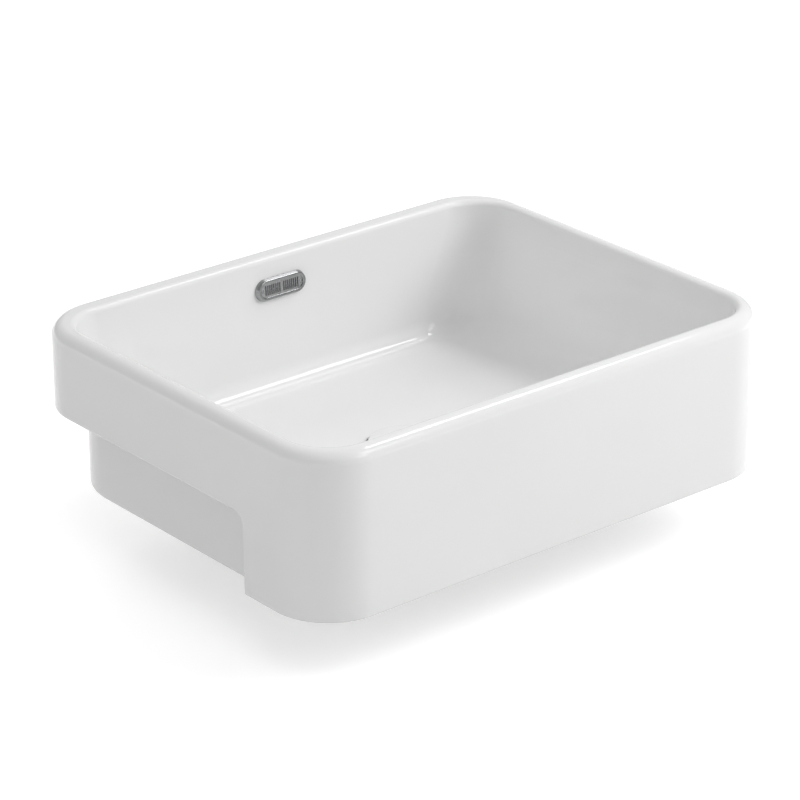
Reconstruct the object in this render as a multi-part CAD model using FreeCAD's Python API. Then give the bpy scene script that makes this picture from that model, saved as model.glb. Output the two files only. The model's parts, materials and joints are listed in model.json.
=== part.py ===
import FreeCAD, Part
import math
import os

from FreeCAD import Vector

# A semi recessed ceramic basin with its overflow trim and its push-push slotted waste.
# Millimetres, +Z up, front towards -Y. The origin is on the drain's axis, in the plane of the
# ledge that rests on the counter.

# Ceramic body, outside
WIDTH = 500.0
DEPTH = 392.0
BAND_TOP = 76.0
BASE = -70.0
PLAN_CORNER = 55.0
RIM_ROUNDING = 11.0
EDGE_ROUNDING = 2.5
APRON_REAR = -100.0
APRON_CORNER = 11.0
RECESS_SIDE_INSET = 16.5
RECESS_BACK_INSET = 18.0
RECESS_CORNER = 64.0
RECESS_BASE_ROUNDING = 5.5

# Bowl: height and half width of each level, from above the rim down to the floor
BOWL_LEVELS = (
    (80.0, 233.5), (60.0, 231.5), (45.0, 227.5), (29.0, 221.5), (12.0, 214.5), (-6.0, 208.5),
    (-43.5, 199.5),
)
BOWL_TOP = BOWL_LEVELS[0][0]
BOWL_FLOOR = BOWL_LEVELS[-1][0]
BOWL_BACK_TOP = 172.9
BOWL_FRONT_TOP = -180.4
BOWL_WALL_SLOPE = 0.0395
BOWL_CORNER_TOP = 39.0
BOWL_CORNER_FLOOR = 45.0
RIM_INNER_ROUNDING = 4.8
MOUTH_STEPS = 6
MOUTH_TURN = 72.0
MOUTH_PAST = 1.0
FLOOR_FILLET_ENDS = 17.0
FLOOR_FILLET_SIDES = 34.0
FILLET_STEPS = 6
FILLET_TURN = 75.0
FLOOR_FALL_RADIUS = 150.0
DRAIN_FLOOR = -46.0

# Ceramic body, underside
WALL = 10.0
SKIRT = 11.0
HOLLOW_TOP = 4.0
BOSS_RADIUS = 40.0
SEAT_RADIUS = 34.5
SEAT_Z = -51.0
DRAIN_HOLE_RADIUS = 23.0

# Overflow way inside the ceramic
OVERFLOW_Z = 47.0
WAY_HALF_WIDTH = 22.0
WAY_FRONT = 176.0
WAY_REAR = 183.0
WAY_TOP = 56.0
WAY_REAR_FLOOR = -62.0
WAY_HEIGHT = 7.0
WAY_DRAIN_FLOOR = -64.5
RIB_HALF_WIDTH = 31.0
RIB_REAR = 190.0
RIB_CORNER = 6.0
SLOT_LENGTH = 40.0
SLOT_HEIGHT = 12.0

# Overflow trim: sizes across the wall, and heights off the wall
BEZEL_LENGTH = 55.0
BEZEL_HEIGHT = 20.5
BEZEL_OFF = 4.0
BEZEL_POCKET_OFF = 2.9
BEZEL_LIP = 2.2
BEZEL_OPENING_LENGTH = 46.0
BEZEL_OPENING_HEIGHT = 12.4
TRIM_WALL = 1.6
TRIM_GAP = 0.2
GASKET_OFF = (0.1, 0.8)
FLANGE_OFF = (0.8, 1.9)
GRILLE_OFF = (1.9, 2.8)
SPIGOT_DEPTH = 5.0
SPIGOT_WALL = 1.2
SPIGOT_GAP = 0.3
SLOTS_PER_BANK = 8
SLOT_PITCH = 2.2
GRILLE_SLOT_WIDTH = 1.15
GRILLE_SLOT_HEIGHT = 9.4
CENTRE_BAR = 3.3
RIVET_X = 21.0
RIVET_SHANK_RADIUS = 1.0
RIVET_HEAD_RADIUS = 1.6
RIVET_HEAD_RISE = 0.7

# Waste
FLANGE_RADIUS = 33.0
FLANGE_TOP = -48.2
FLANGE_UNDER = -50.4
FLANGE_MOUTH_RADIUS = 21.0
TUBE_RADIUS = 20.95
TUBE_BORE = 17.5
THROAT_RADIUS = 19.0
THROAT_TOP = -50.2
THROAT_BOTTOM = -56.5
TUBE_BOTTOM = -128.0
RELIEF_TOP = -95.0
RELIEF_BOTTOM = -98.0
RELIEF_RADIUS = 20.0
TUBE_CHAMFER = 1.0
WINDOW_WIDTH = 15.0
WINDOW_TOP = -57.5
WINDOW_BOTTOM = -64.5
BRIDGE_TOP = -98.0
BRIDGE_THICKNESS = 6.0
BRIDGE_HUB_RADIUS = 8.0
BRIDGE_ARM_WIDTH = 3.5
BRIDGE_ARMS = 3
GASKET_RADIUS = 35.0
GASKET_TAPER_TOP = -72.5
GASKET_TAPER_RADIUS = 31.0
GASKET_BOTTOM = -76.0
WASHER_BOTTOM = -77.5
NUT_BOTTOM = -87.0
NUT_ACROSS_FLATS = 52.0
NUT_BORE = 21.0
NUT_COLLAR_RADIUS = 29.0
NUT_COLLAR_BOTTOM = -79.5
SEAL_MARGIN = 0.5

# Plug
CAP_RADIUS = 32.0
CAP_CROWN = -41.3
CAP_EDGE_TOP = -41.8
CAP_EDGE_ROUNDING = 2.0
CAP_UNDER = -46.6
CAP_UNDER_CHAMFER = 0.8
CAP_RECESS_RADIUS = 24.0
CAP_RECESS_TOP = -45.4
PAD_BOTTOM = -45.9
CARRIER_RADIUS = 23.5
CARRIER_DISC_BOTTOM = -46.9
CARRIER_HUB_RADIUS = 17.8
CARRIER_BOTTOM = -54.5
SEAL_TOP = -50.6
SEAL_BOTTOM = -53.0
SEAL_INNER_RADIUS = 16.2
SEAL_RADIUS = 18.7
SEAL_TAPER = 0.8
STEM_RADIUS = 4.5
STEM_FLAT = 3.9
STUD_RADIUS = 3.0
STUD_TOP = -49.5
COLLAR_RADIUS = 5.6
COLLAR_TOP = -77.0
COLLAR_BOTTOM = -82.0
SPIGOT_RADIUS = 3.2
SPIGOT_BOTTOM = -86.0
PIN_Z = -79.5
PIN_RADIUS = 0.9
PIN_HALF_LENGTH = 7.4

# Push-push cartridge
LIFT = 8.0
TURN_PER_LIFT = 45.0
HOUSING_RADIUS = 10.5
HOUSING_BORE = 8.6
HOUSING_TOP = -66.0
HOUSING_SHELF = -83.8
SPRING_WELL_RADIUS = 6.4
SPRING_WELL_BOTTOM = -95.5
HOUSING_STUD_RADIUS = 4.0
HOUSING_STUD_BOTTOM = -109.0
LOCKNUT_HEIGHT = 4.0
LOCKNUT_ACROSS_FLATS = 13.0
RETAINER_TOP = -63.5
RETAINER_UNDER = -68.1
WASHER_THICKNESS = 0.6
RING_TOP = -68.3
RING_INNER_RADIUS = 5.9
RING_OUTER_RADIUS = 8.4
RING_BOTTOM = -83.1
TRACK_RADIUS = 7.6
TRACK_TURN_RADIUS = 1.2
TRACK_HALF_HEIGHT = 2.4
TRACK_FLANKS = 8
FLANK_STEPS = 4
SPRING_INNER_RADIUS = 4.0
SPRING_OUTER_RADIUS = 5.6

FIT = 0.05
HALF_DEPTH = DEPTH / 2
HALF_WIDTH = WIDTH / 2
RECESS_HALF_WIDTH = HALF_WIDTH - RECESS_SIDE_INSET
RECESS_BACK = HALF_DEPTH - RECESS_BACK_INSET


# Shared shapes

def rounded_outline(half_x, front_y, back_y, corner, z):
    """Closed wire of a rounded rectangle lying at height z."""
    edges = []
    centres = (
        (half_x - corner, front_y + corner, -90.0),
        (half_x - corner, back_y - corner, 0.0),
        (-half_x + corner, back_y - corner, 90.0),
        (-half_x + corner, front_y + corner, 180.0),
    )
    arcs = []
    for x, y, start in centres:
        circle = Part.Circle(Vector(x, y, z), Vector(0, 0, 1), corner)
        arcs.append(Part.ArcOfCircle(circle, math.radians(start), math.radians(start + 90)))
    for index, arc in enumerate(arcs):
        following = arcs[(index + 1) % len(arcs)]
        edges.append(arc.toShape())
        edges.append(Part.LineSegment(arc.EndPoint, following.StartPoint).toShape())
    return Part.Wire(edges)


def upright(wire, height):
    """Solid made by raising a flat closed wire."""
    return Part.Face(wire).extrude(Vector(0, 0, height))


def block(x0, x1, y0, y1, z0, z1):
    """Box between two corners."""
    return Part.makeBox(x1 - x0, y1 - y0, z1 - z0, Vector(x0, y0, z0))


def disc(radius, z0, z1):
    """Upright cylinder on the drain's axis."""
    return Part.makeCylinder(radius, z1 - z0, Vector(0, 0, z0))


def ring(inner, outer, z0, z1):
    """Flat ring on the drain's axis."""
    return disc(outer, z0, z1).cut(disc(inner, z0 - 1, z1 + 1))


def turned(points):
    """Solid of revolution about the drain's axis from an outline of (radius, height)."""
    corners = [Vector(radius, 0, z) for radius, z in points]
    outline = Part.makePolygon(corners + corners[:1])
    return Part.Face(outline).revolve(Vector(0, 0, 0), Vector(0, 0, 1), 360)


def hexagon(across_flats, z0, z1):
    """Hexagonal bar on the drain's axis, with its corners turned off."""
    corner_radius = across_flats / math.sqrt(3)
    corners = []
    for index in range(7):
        angle = math.radians(60 * index)
        corners.append(Vector(corner_radius * math.cos(angle), corner_radius * math.sin(angle), z0))
    bar = Part.Face(Part.makePolygon(corners)).extrude(Vector(0, 0, z1 - z0))
    slope = (corner_radius - across_flats / 2) / 2
    turned_off = turned((
        (0, z0), (across_flats / 2, z0), (corner_radius, z0 + slope),
        (corner_radius, z1 - slope), (across_flats / 2, z1), (0, z1),
    ))
    return bar.common(turned_off)


def pill(length, height, off0, off1):
    """Flat solid with round ends, in the trim's own frame: x along, y up, z off the wall."""
    radius = height / 2
    straight = length - height
    middle = Part.makeBox(straight, height, off1 - off0, Vector(-straight / 2, -radius, off0))
    ends = []
    for side in (-1, 1):
        ends.append(Part.makeCylinder(radius, off1 - off0, Vector(side * straight / 2, 0, off0)))
    return middle.fuse(ends).removeSplitter()


def edges_where(shape, accept):
    """Edges whose every sampled point is accepted."""
    chosen = []
    for edge in shape.Edges:
        first, last = edge.ParameterRange
        samples = [edge.valueAt(first + (last - first) * step / 4) for step in range(5)]
        if all(accept(point) for point in samples):
            chosen.append(edge)
    return chosen


# Ceramic body

def back_wall_y(z):
    """Where the bowl's back wall stands at a height."""
    return BOWL_BACK_TOP - (BOWL_TOP - z) * BOWL_WALL_SLOPE


def side_half_width(z):
    """Half width between the bowl's side walls at a height, before the floor's fillet."""
    for (high, high_x), (low, low_x) in zip(BOWL_LEVELS, BOWL_LEVELS[1:]):
        if z >= low:
            return low_x + (high_x - low_x) * (z - low) / (high - low)
    return BOWL_LEVELS[-1][1]


def fillet_inset(height, radius, lean):
    """How far a fillet at the floor stands in from its wall, at a height over the floor."""
    if height >= radius * (1 - math.sin(lean)):
        return 0.0
    wall = height * math.tan(lean)
    centre = -radius * (1 - math.sin(lean)) / math.cos(lean)
    return wall - centre - math.sqrt(radius ** 2 - (radius - height) ** 2)


def bowl_outline(z, floor, grow, ends_radius, sides_radius):
    """Bowl outline at a height, grown outward and rounded in towards its floor."""
    (high, high_x), (low, low_x) = BOWL_LEVELS[-2:]
    side_lean = math.atan((high_x - low_x) / (high - low))
    end_lean = math.atan(BOWL_WALL_SLOPE)
    side_inset = fillet_inset(z - floor, sides_radius, side_lean)
    end_inset = fillet_inset(z - floor, ends_radius, end_lean)
    fall = (BOWL_TOP - z) * BOWL_WALL_SLOPE
    depth_share = (BOWL_TOP - z) / (BOWL_TOP - BOWL_FLOOR)
    corner = BOWL_CORNER_TOP + (BOWL_CORNER_FLOOR - BOWL_CORNER_TOP) * depth_share
    return rounded_outline(
        side_half_width(z) + grow - side_inset,
        BOWL_FRONT_TOP + fall - grow + end_inset,
        BOWL_BACK_TOP - fall + grow - end_inset,
        corner + grow - (side_inset + end_inset) / 2,
        z)


def bowl_space(grow, ends_radius, sides_radius):
    """The bowl's space below the rim's rounding, with its floor rounded up into its walls."""
    floor = BOWL_FLOOR - grow
    heights = [BAND_TOP - RIM_INNER_ROUNDING] + [z for z, half_x in BOWL_LEVELS[1:-1]]
    for step in range(FILLET_STEPS, -1, -1):
        angle = math.radians(FILLET_TURN * step / FILLET_STEPS)
        heights.append(floor + sides_radius * (1 - math.cos(angle)))
    wires = [bowl_outline(z, floor, grow, ends_radius, sides_radius) for z in heights]
    return Part.makeLoft(wires, True, True)


def mouth_space():
    """The bowl's flaring mouth, which rounds the rim's inner edge."""
    wires = []
    base = BAND_TOP - RIM_INNER_ROUNDING
    for step in range(MOUTH_STEPS + 1):
        angle = math.radians(MOUTH_TURN * step / MOUTH_STEPS)
        rise = RIM_INNER_ROUNDING * math.sin(angle)
        outset = RIM_INNER_ROUNDING * (1 - math.cos(angle))
        wires.append(mouth_outline(base, base + rise, outset))
    outset += MOUTH_PAST * math.tan(math.radians(MOUTH_TURN))
    wires.append(mouth_outline(base, base + rise + MOUTH_PAST, outset))
    return Part.makeLoft(wires, True, True)


def mouth_outline(wall_z, z, outset):
    """The bowl's outline at one height of its wall, grown outward and set at another height."""
    fall = (BOWL_TOP - wall_z) * BOWL_WALL_SLOPE
    depth_share = (BOWL_TOP - wall_z) / (BOWL_TOP - BOWL_FLOOR)
    corner = BOWL_CORNER_TOP + (BOWL_CORNER_FLOOR - BOWL_CORNER_TOP) * depth_share
    return rounded_outline(
        side_half_width(wall_z) + outset, BOWL_FRONT_TOP + fall - outset,
        BOWL_BACK_TOP - fall + outset, corner + outset, z)


def ceramic_outside():
    """Band, full-height apron and recessed lower body, with their rounded edges."""
    outline = rounded_outline(HALF_WIDTH, -HALF_DEPTH, HALF_DEPTH, PLAN_CORNER, BASE)
    outside = upright(outline, BAND_TOP - BASE)
    rim = edges_where(outside, lambda point: point.z > BAND_TOP - 0.01)
    outside = outside.makeFillet(RIM_ROUNDING, rim)

    lower_outline = rounded_outline(
        RECESS_HALF_WIDTH, -HALF_DEPTH + RECESS_SIDE_INSET, RECESS_BACK, RECESS_CORNER, BASE)
    lower = upright(lower_outline, -BASE + RECESS_BASE_ROUNDING)
    foot = edges_where(lower, lambda point: point.z < BASE + 0.01)
    lower = lower.makeFillet(RECESS_BASE_ROUNDING, foot)

    beyond = HALF_DEPTH + 10
    reach = HALF_WIDTH + 10
    corner = APRON_CORNER
    arc = Part.Arc(
        Vector(-reach, APRON_REAR, -corner),
        Vector(-reach, APRON_REAR + corner * (1 - math.sqrt(0.5)), -corner * (1 - math.sqrt(0.5))),
        Vector(-reach, APRON_REAR + corner, 0),
    ).toShape()
    ends = [
        Vector(-reach, APRON_REAR + corner, 0),
        Vector(-reach, beyond, 0),
        Vector(-reach, beyond, BASE - 10),
        Vector(-reach, APRON_REAR, BASE - 10),
        Vector(-reach, APRON_REAR, -corner),
    ]
    side_view = Part.Wire([arc] + Part.makePolygon(ends).Edges)
    recess = Part.Face(side_view).extrude(Vector(2 * reach, 0, 0)).cut(lower)
    outside = outside.cut(recess)

    def on_outer_edge(point):
        beside = abs(point.x) > RECESS_HALF_WIDTH + 1 or abs(point.y) > RECESS_BACK + 1
        below_band = point.z < 0.01
        return beside and below_band and on_outline(point) and not on_tangent_line(point)

    sharp = edges_where(outside, on_outer_edge)
    return outside.makeFillet(EDGE_ROUNDING, sharp)


def on_outline(point):
    """Whether a point lies on the outer plan outline."""
    across = max(abs(point.x) - (HALF_WIDTH - PLAN_CORNER), 0)
    along = max(abs(point.y) - (HALF_DEPTH - PLAN_CORNER), 0)
    if across == 0 or along == 0:
        return abs(point.x) > HALF_WIDTH - 0.01 or abs(point.y) > HALF_DEPTH - 0.01
    return abs(math.hypot(across, along) - PLAN_CORNER) < 0.01


def on_tangent_line(point):
    """Whether a point lies on an upright line where a flat side meets a round corner."""
    below = BASE + 0.01 < point.z
    front = point.y < APRON_REAR - 1
    return below and front


def overflow_way():
    """Water's way from the slot down the back and under the floor to the drain hole."""
    down = block(-WAY_HALF_WIDTH, WAY_HALF_WIDTH, WAY_FRONT, WAY_REAR, WAY_REAR_FLOOR, WAY_TOP)
    side_view = Part.makePolygon([
        Vector(-WAY_HALF_WIDTH, WAY_REAR, WAY_REAR_FLOOR),
        Vector(-WAY_HALF_WIDTH, WAY_REAR, WAY_REAR_FLOOR + WAY_HEIGHT),
        Vector(-WAY_HALF_WIDTH, 0, WAY_DRAIN_FLOOR + WAY_HEIGHT),
        Vector(-WAY_HALF_WIDTH, 0, WAY_DRAIN_FLOOR),
        Vector(-WAY_HALF_WIDTH, WAY_REAR, WAY_REAR_FLOOR),
    ])
    under = Part.Face(side_view).extrude(Vector(2 * WAY_HALF_WIDTH, 0, 0))
    slot = on_back_wall(pill(SLOT_LENGTH, SLOT_HEIGHT, WAY_FRONT - WAY_REAR, WALL))
    return down.fuse([under, slot])


def underside_hollow():
    """Open space under the floor and beside the bowl, inside the skirt and foot."""
    outline = rounded_outline(
        RECESS_HALF_WIDTH - SKIRT, -HALF_DEPTH + SKIRT, RECESS_BACK - SKIRT, RECESS_CORNER - SKIRT,
        BASE - 1)
    space = upright(outline, HOLLOW_TOP - BASE + 1)
    bowl = bowl_space(WALL, FLOOR_FILLET_ENDS + WALL, FLOOR_FILLET_SIDES + WALL)
    boss = disc(BOSS_RADIUS, BASE, BOWL_FLOOR)
    rib = block(-RIB_HALF_WIDTH, RIB_HALF_WIDTH, 0, HALF_DEPTH, BASE, BOWL_FLOOR)
    return space.cut([bowl, boss, rib])


def basin_body():
    """The glazed ceramic body."""
    bowl = bowl_space(0, FLOOR_FILLET_ENDS, FLOOR_FILLET_SIDES)
    body = ceramic_outside().cut([bowl, mouth_space()])
    rib = block(-RIB_HALF_WIDTH, RIB_HALF_WIDTH, WAY_FRONT, RIB_REAR, BASE, 1)
    corners = edges_where(
        rib, lambda point: point.y > RIB_REAR - 0.01 and abs(point.x) > RIB_HALF_WIDTH - 0.01)
    body = body.fuse(rib.makeFillet(RIB_CORNER, corners))
    fall = Part.makeCone(
        SEAT_RADIUS, FLOOR_FALL_RADIUS, BOWL_FLOOR - DRAIN_FLOOR, Vector(0, 0, DRAIN_FLOOR))
    seat = disc(SEAT_RADIUS, SEAT_Z, BOWL_FLOOR)
    hole = disc(DRAIN_HOLE_RADIUS, BASE - 1, BOWL_FLOOR)
    return body.cut([underside_hollow(), fall, seat, hole, overflow_way()])


# Overflow trim

def on_back_wall(shape):
    """Stands a shape from the trim's own frame on the bowl's back wall."""
    lean = math.atan(BOWL_WALL_SLOPE)
    placed = shape.copy()
    placed.rotate(Vector(0, 0, 0), Vector(1, 0, 0), 90 - math.degrees(lean))
    placed.translate(Vector(0, back_wall_y(OVERFLOW_Z), OVERFLOW_Z))
    return placed


def overflow_bezel():
    """Chrome frame with a rounded front, hollow behind."""
    frame = pill(BEZEL_LENGTH, BEZEL_HEIGHT, GASKET_OFF[0], BEZEL_OFF)
    front = edges_where(frame, lambda point: point.z > BEZEL_OFF - 0.01)
    frame = frame.makeFillet(BEZEL_LIP, front)
    pocket = pill(
        BEZEL_LENGTH - 2 * TRIM_WALL, BEZEL_HEIGHT - 2 * TRIM_WALL, 0, BEZEL_POCKET_OFF)
    opening = pill(BEZEL_OPENING_LENGTH, BEZEL_OPENING_HEIGHT, 0, BEZEL_OFF + 1)
    return on_back_wall(frame.cut([pocket, opening]))


def overflow_gasket():
    """Soft ring between the sleeve's flange and the ceramic."""
    plate = trim_plate(GASKET_OFF)
    opening = pill(SLOT_LENGTH, SLOT_HEIGHT, 0, 2)
    return on_back_wall(plate.cut(opening))


def trim_plate(off):
    """Plate that fills the bezel's pocket between two heights off the wall."""
    gap = 2 * (TRIM_WALL + TRIM_GAP)
    return pill(BEZEL_LENGTH - gap, BEZEL_HEIGHT - gap, off[0], off[1])


def rivet_holes():
    """Two round holes through the plates of the trim."""
    holes = []
    for side in (-1, 1):
        holes.append(Part.makeCylinder(RIVET_SHANK_RADIUS + FIT, 10, Vector(side * RIVET_X, 0, 0)))
    return holes


def overflow_sleeve():
    """Moulded flange with a spigot that lines the slot in the ceramic."""
    flange = trim_plate(FLANGE_OFF)
    outer_length = SLOT_LENGTH - 2 * SPIGOT_GAP
    outer_height = SLOT_HEIGHT - 2 * SPIGOT_GAP
    spigot = pill(outer_length, outer_height, -SPIGOT_DEPTH, FLANGE_OFF[1])
    bore = pill(
        outer_length - 2 * SPIGOT_WALL, outer_height - 2 * SPIGOT_WALL, -SPIGOT_DEPTH - 1, 4)
    return on_back_wall(flange.fuse(spigot).removeSplitter().cut([bore] + rivet_holes()))


def overflow_grille():
    """Face plate with two banks of upright slots either side of a centre bar."""
    cuts = rivet_holes()
    for side in (-1, 1):
        for index in range(SLOTS_PER_BANK):
            x = side * (CENTRE_BAR / 2 + GRILLE_SLOT_WIDTH / 2 + index * SLOT_PITCH)
            slot = pill(GRILLE_SLOT_HEIGHT, GRILLE_SLOT_WIDTH, 0, 5)
            slot.rotate(Vector(0, 0, 0), Vector(0, 0, 1), 90)
            slot.translate(Vector(x, 0, 0))
            cuts.append(slot)
    return on_back_wall(trim_plate(GRILLE_OFF).cut(cuts))


def overflow_rivets():
    """Two round-headed rivets that hold the face to the sleeve."""
    rivets = []
    for side in (-1, 1):
        base = Vector(side * RIVET_X, 0, FLANGE_OFF[0] + FIT)
        shank = Part.makeCylinder(RIVET_SHANK_RADIUS, GRILLE_OFF[1] - base.z, base)
        dome_radius = (RIVET_HEAD_RADIUS ** 2 + RIVET_HEAD_RISE ** 2) / (2 * RIVET_HEAD_RISE)
        centre = Vector(base.x, 0, GRILLE_OFF[1] + RIVET_HEAD_RISE - dome_radius)
        head = Part.makeSphere(dome_radius, centre).common(
            Part.makeCylinder(RIVET_HEAD_RADIUS, 2, Vector(base.x, 0, GRILLE_OFF[1])))
        rivets.append(on_back_wall(shank.fuse(head)))
    return Part.makeCompound(rivets)


# Waste

def waste_body():
    """Flanged tube with overflow windows, a bridge for the cartridge and an outlet thread."""
    tube = turned((
        (FLANGE_MOUTH_RADIUS, FLANGE_TOP),
        (FLANGE_RADIUS - 1, FLANGE_TOP),
        (FLANGE_RADIUS, FLANGE_TOP - 1),
        (FLANGE_RADIUS, FLANGE_UNDER),
        (TUBE_RADIUS, FLANGE_UNDER),
        (TUBE_RADIUS, RELIEF_TOP),
        (RELIEF_RADIUS, RELIEF_TOP),
        (RELIEF_RADIUS, RELIEF_BOTTOM),
        (TUBE_RADIUS, RELIEF_BOTTOM),
        (TUBE_RADIUS, TUBE_BOTTOM + TUBE_CHAMFER),
        (TUBE_RADIUS - TUBE_CHAMFER, TUBE_BOTTOM),
        (TUBE_BORE, TUBE_BOTTOM),
        (TUBE_BORE, THROAT_BOTTOM),
        (THROAT_RADIUS, THROAT_BOTTOM),
        (THROAT_RADIUS, THROAT_TOP),
    ))
    half = WINDOW_WIDTH / 2
    reach = TUBE_RADIUS + 1
    windows = [
        block(-half, half, -reach, reach, WINDOW_BOTTOM, WINDOW_TOP),
        block(-reach, reach, -half, half, WINDOW_BOTTOM, WINDOW_TOP),
    ]
    bridge_bottom = BRIDGE_TOP - BRIDGE_THICKNESS
    arms = []
    for index in range(BRIDGE_ARMS):
        arm = block(
            0, TUBE_BORE + 1, -BRIDGE_ARM_WIDTH / 2, BRIDGE_ARM_WIDTH / 2, bridge_bottom, BRIDGE_TOP)
        arm.rotate(Vector(0, 0, 0), Vector(0, 0, 1), 90 + index * 360 / BRIDGE_ARMS)
        arms.append(arm)
    hub = disc(BRIDGE_HUB_RADIUS, bridge_bottom, BRIDGE_TOP)
    bore = disc(HOUSING_STUD_RADIUS + FIT, bridge_bottom - 1, BRIDGE_TOP + 1)
    return tube.cut(windows).fuse([hub] + arms).cut(bore)


def flange_seal():
    """Thin seal between the waste's flange and its seat."""
    return ring(
        DRAIN_HOLE_RADIUS + SEAL_MARGIN, FLANGE_RADIUS - SEAL_MARGIN, SEAT_Z, FLANGE_UNDER)


def lower_gasket():
    """Thick gasket under the drain boss, tapered towards the nut."""
    return turned((
        (TUBE_RADIUS + FIT, BASE), (GASKET_RADIUS, BASE), (GASKET_RADIUS, GASKET_TAPER_TOP),
        (GASKET_TAPER_RADIUS, GASKET_BOTTOM), (TUBE_RADIUS + FIT, GASKET_BOTTOM),
    ))


def friction_washer():
    """Slippery washer that lets the nut turn on the gasket."""
    return ring(NUT_BORE, GASKET_TAPER_RADIUS, WASHER_BOTTOM, GASKET_BOTTOM)


def backnut():
    """Hexagonal nut with a round face that clamps the waste."""
    collar = disc(NUT_COLLAR_RADIUS, NUT_COLLAR_BOTTOM, WASHER_BOTTOM)
    hexagonal = hexagon(NUT_ACROSS_FLATS, NUT_BOTTOM, NUT_COLLAR_BOTTOM)
    return hexagonal.fuse(collar).cut(disc(NUT_BORE, NUT_BOTTOM - 1, WASHER_BOTTOM + 1))


# Plug

def plug_cap():
    """Ceramic cap with a slight crown, a rounded edge and a shallow recess below."""
    edge = CAP_EDGE_ROUNDING
    crown_rise = CAP_CROWN - CAP_EDGE_TOP
    crown_reach = CAP_RADIUS - edge
    crown_radius = (crown_reach ** 2 + crown_rise ** 2) / (2 * crown_rise)
    crown_half = math.asin(crown_reach / crown_radius) / 2
    crown_middle = Vector(
        crown_radius * math.sin(crown_half), 0,
        CAP_CROWN - crown_radius * (1 - math.cos(crown_half)))
    edge_middle = Vector(
        crown_reach + edge * math.sqrt(0.5), 0, CAP_EDGE_TOP - edge * (1 - math.sqrt(0.5)))
    crown = Part.Arc(
        Vector(0, 0, CAP_CROWN), crown_middle, Vector(crown_reach, 0, CAP_EDGE_TOP)).toShape()
    rounding = Part.Arc(
        Vector(crown_reach, 0, CAP_EDGE_TOP), edge_middle,
        Vector(CAP_RADIUS, 0, CAP_EDGE_TOP - edge)).toShape()
    below = Part.makePolygon([
        Vector(CAP_RADIUS, 0, CAP_EDGE_TOP - edge),
        Vector(CAP_RADIUS, 0, CAP_UNDER + CAP_UNDER_CHAMFER),
        Vector(CAP_RADIUS - CAP_UNDER_CHAMFER, 0, CAP_UNDER),
        Vector(CAP_RECESS_RADIUS, 0, CAP_UNDER),
        Vector(CAP_RECESS_RADIUS, 0, CAP_RECESS_TOP),
        Vector(0, 0, CAP_RECESS_TOP),
        Vector(0, 0, CAP_CROWN),
    ])
    outline = Part.Wire([crown, rounding] + below.Edges)
    return Part.Face(outline).revolve(Vector(0, 0, 0), Vector(0, 0, 1), 360)


def cap_pad():
    """Bonding disc between the cap and its carrier."""
    return disc(CARRIER_RADIUS, PAD_BOTTOM, CAP_RECESS_TOP)


def cap_carrier():
    """Moulded disc and hub that hold the cap, with a groove for the seal."""
    outside = turned((
        (0, PAD_BOTTOM), (CARRIER_RADIUS, PAD_BOTTOM), (CARRIER_RADIUS, CARRIER_DISC_BOTTOM),
        (CARRIER_HUB_RADIUS, CARRIER_DISC_BOTTOM), (CARRIER_HUB_RADIUS, SEAL_TOP),
        (SEAL_INNER_RADIUS, SEAL_TOP), (SEAL_INNER_RADIUS, SEAL_BOTTOM),
        (CARRIER_HUB_RADIUS, SEAL_BOTTOM), (CARRIER_HUB_RADIUS, CARRIER_BOTTOM), (0, CARRIER_BOTTOM),
    ))
    return outside.cut(disc(STUD_RADIUS + FIT, CARRIER_BOTTOM - 1, STUD_TOP))


def plug_seal():
    """Lip ring in the carrier's groove."""
    middle = (SEAL_TOP + SEAL_BOTTOM) / 2
    return turned((
        (SEAL_INNER_RADIUS, SEAL_TOP), (SEAL_RADIUS - SEAL_TAPER, SEAL_TOP),
        (SEAL_RADIUS, middle), (SEAL_RADIUS - SEAL_TAPER, SEAL_BOTTOM),
        (SEAL_INNER_RADIUS, SEAL_BOTTOM),
    ))


def flatted_bar(radius, flat, z0, z1):
    """Round bar with a flat on each side."""
    return disc(radius, z0, z1).common(block(-radius, radius, -flat, flat, z0, z1))


def plug_plunger():
    """Stem with a stud above, a collar for the pin and a spigot for the spring."""
    stem = flatted_bar(STEM_RADIUS, STEM_FLAT, COLLAR_TOP, CARRIER_BOTTOM)
    stud = disc(STUD_RADIUS, CARRIER_BOTTOM, STUD_TOP)
    collar = disc(COLLAR_RADIUS, COLLAR_BOTTOM, COLLAR_TOP)
    spigot = disc(SPIGOT_RADIUS, SPIGOT_BOTTOM, COLLAR_BOTTOM)
    hole = pin_bar(PIN_RADIUS + FIT / 2, COLLAR_RADIUS + 1)
    return stem.fuse([stud, collar, spigot]).cut(hole)


def pin_bar(radius, half_length):
    """Round bar across the plunger at the pin's height."""
    start = Vector(-half_length, 0, PIN_Z)
    return Part.makeCylinder(radius, 2 * half_length, start, Vector(1, 0, 0))


def follower_pin():
    """Pin through the plunger's collar, whose ends run in the latch ring's track."""
    return pin_bar(PIN_RADIUS, PIN_HALF_LENGTH)


# Push-push cartridge

def cartridge_housing():
    """Cylinder with a shelf for the latch ring, a well for the spring and a stud below."""
    outside = turned((
        (0, HOUSING_TOP), (HOUSING_RADIUS, HOUSING_TOP), (HOUSING_RADIUS, BRIDGE_TOP),
        (HOUSING_STUD_RADIUS, BRIDGE_TOP), (HOUSING_STUD_RADIUS, HOUSING_STUD_BOTTOM),
        (0, HOUSING_STUD_BOTTOM),
    ))
    bore = disc(HOUSING_BORE, HOUSING_SHELF, HOUSING_TOP + 1)
    well = disc(SPRING_WELL_RADIUS, SPRING_WELL_BOTTOM, HOUSING_SHELF + 1)
    return outside.cut([bore, well])


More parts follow.
